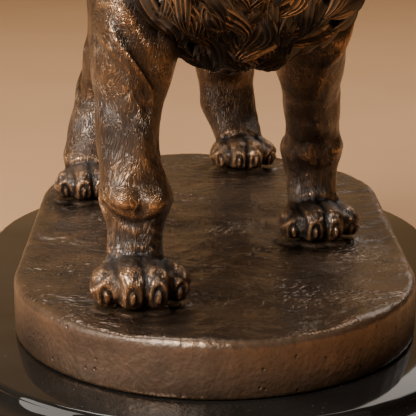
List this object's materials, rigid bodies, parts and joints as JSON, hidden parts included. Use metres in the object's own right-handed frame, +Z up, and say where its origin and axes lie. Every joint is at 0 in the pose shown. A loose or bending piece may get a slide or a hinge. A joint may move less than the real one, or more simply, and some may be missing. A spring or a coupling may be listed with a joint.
{
  "type": "lion sculpture on plinth",
  "caption": "Walking lion in patinated bronze with a full locked mane, on an oval bronze ground seated on a moulded black marble plinth.",
  "frame": {"origin": "centre of the plinth's underside", "axes": "+Z up, the lion faces -Y, +X is the lion's left"},
  "size_m": [0.2164, 0.3846, 0.2568],
  "materials": {
    "bronze": "dark brown patina, waxed, rubbed to copper on the raised edges",
    "ground_bronze": "brown patina, satin, pitted as cast",
    "black_marble": "polished black with fine pale specks"
  },
  "bodies": {
    "root": {"bronze_lion": "bronze", "bronze_ground": "ground_bronze", "marble_plinth": "black_marble"}
  },
  "joints": []
}
